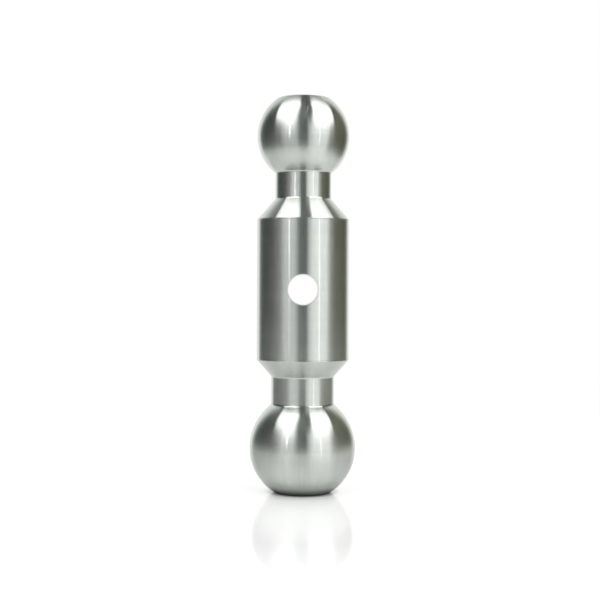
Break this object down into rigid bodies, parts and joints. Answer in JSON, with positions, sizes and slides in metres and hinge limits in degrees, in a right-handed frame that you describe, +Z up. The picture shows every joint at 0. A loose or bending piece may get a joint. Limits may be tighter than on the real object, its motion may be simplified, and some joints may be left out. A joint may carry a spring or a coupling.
{
  "type": "double-ended tow ball",
  "caption": "Stainless steel double-ended tow ball: a cross-drilled barrel with a 2 inch ball screwed into one end and a 2-5/16 inch ball into the other.",
  "frame": {"origin": "centre of the cross-pin hole, on the barrel's axis", "axes": "+Z up the barrel's axis towards the 2 inch ball, +Y along the cross-pin hole, +X across both"},
  "size_m": [0.0588, 0.0588, 0.2174],
  "materials": {
    "barrel_steel": "stainless steel, fine turned finish",
    "ball_steel": "stainless steel, turned and polished along the lay",
    "washer_steel": "plain spring steel"
  },
  "bodies": {
    "root": {"barrel": "barrel_steel", "upper_ball": "ball_steel", "lower_ball": "ball_steel", "upper_lock_washer": "washer_steel", "lower_lock_washer": "washer_steel"}
  },
  "joints": []
}
